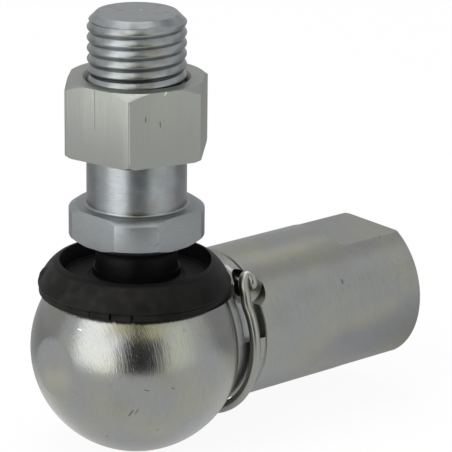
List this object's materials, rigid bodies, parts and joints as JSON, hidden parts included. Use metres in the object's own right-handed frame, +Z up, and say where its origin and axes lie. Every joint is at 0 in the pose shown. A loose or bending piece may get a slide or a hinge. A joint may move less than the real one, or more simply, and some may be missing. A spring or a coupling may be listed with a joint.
{
  "type": "angle ball joint",
  "caption": "Angle ball joint: spherical socket on a threaded shank, swivelling ball stud with hexagon nut, rubber sealing cap and wire safety clip.",
  "frame": {"origin": "centre of the ball", "axes": "+Z up the stud, towards its thread; +X out of the socket's threaded shank"},
  "size_m": [0.0594, 0.03, 0.0635],
  "materials": {
    "housing": "zinc plated, smooth turned",
    "stud": "zinc plated, turned and rolled thread",
    "nut": "zinc plated",
    "spring_steel": "drawn spring wire",
    "rubber": "matt moulded rubber",
    "clip_wire": "zinc plated spring wire"
  },
  "bodies": {
    "socket": {"housing": "housing", "sealing_cap": "rubber", "safety_clip": "clip_wire"},
    "retainer": {"snap_ring": "spring_steel"},
    "stud": {"ball_stud": "stud"},
    "nut": {"hex_nut": "nut"}
  },
  "joints": [
    {"name": "ball_swivel", "type": "hinge", "parent": "socket", "child": "retainer", "pos_m": [0, 0, 0], "axis": [0, 0, 1], "continuous": true},
    {"name": "ball_tilt", "type": "hinge", "parent": "retainer", "child": "stud", "pos_m": [0, 0, 0], "axis": [0, 1, 0], "range_deg": [-18, 18], "deforming": ["sealing_cap"]},
    {"name": "nut_turn", "type": "hinge", "parent": "stud", "child": "nut", "pos_m": [0, 0, 0.034], "axis": [0, 0, 1], "continuous": true}
  ]
}
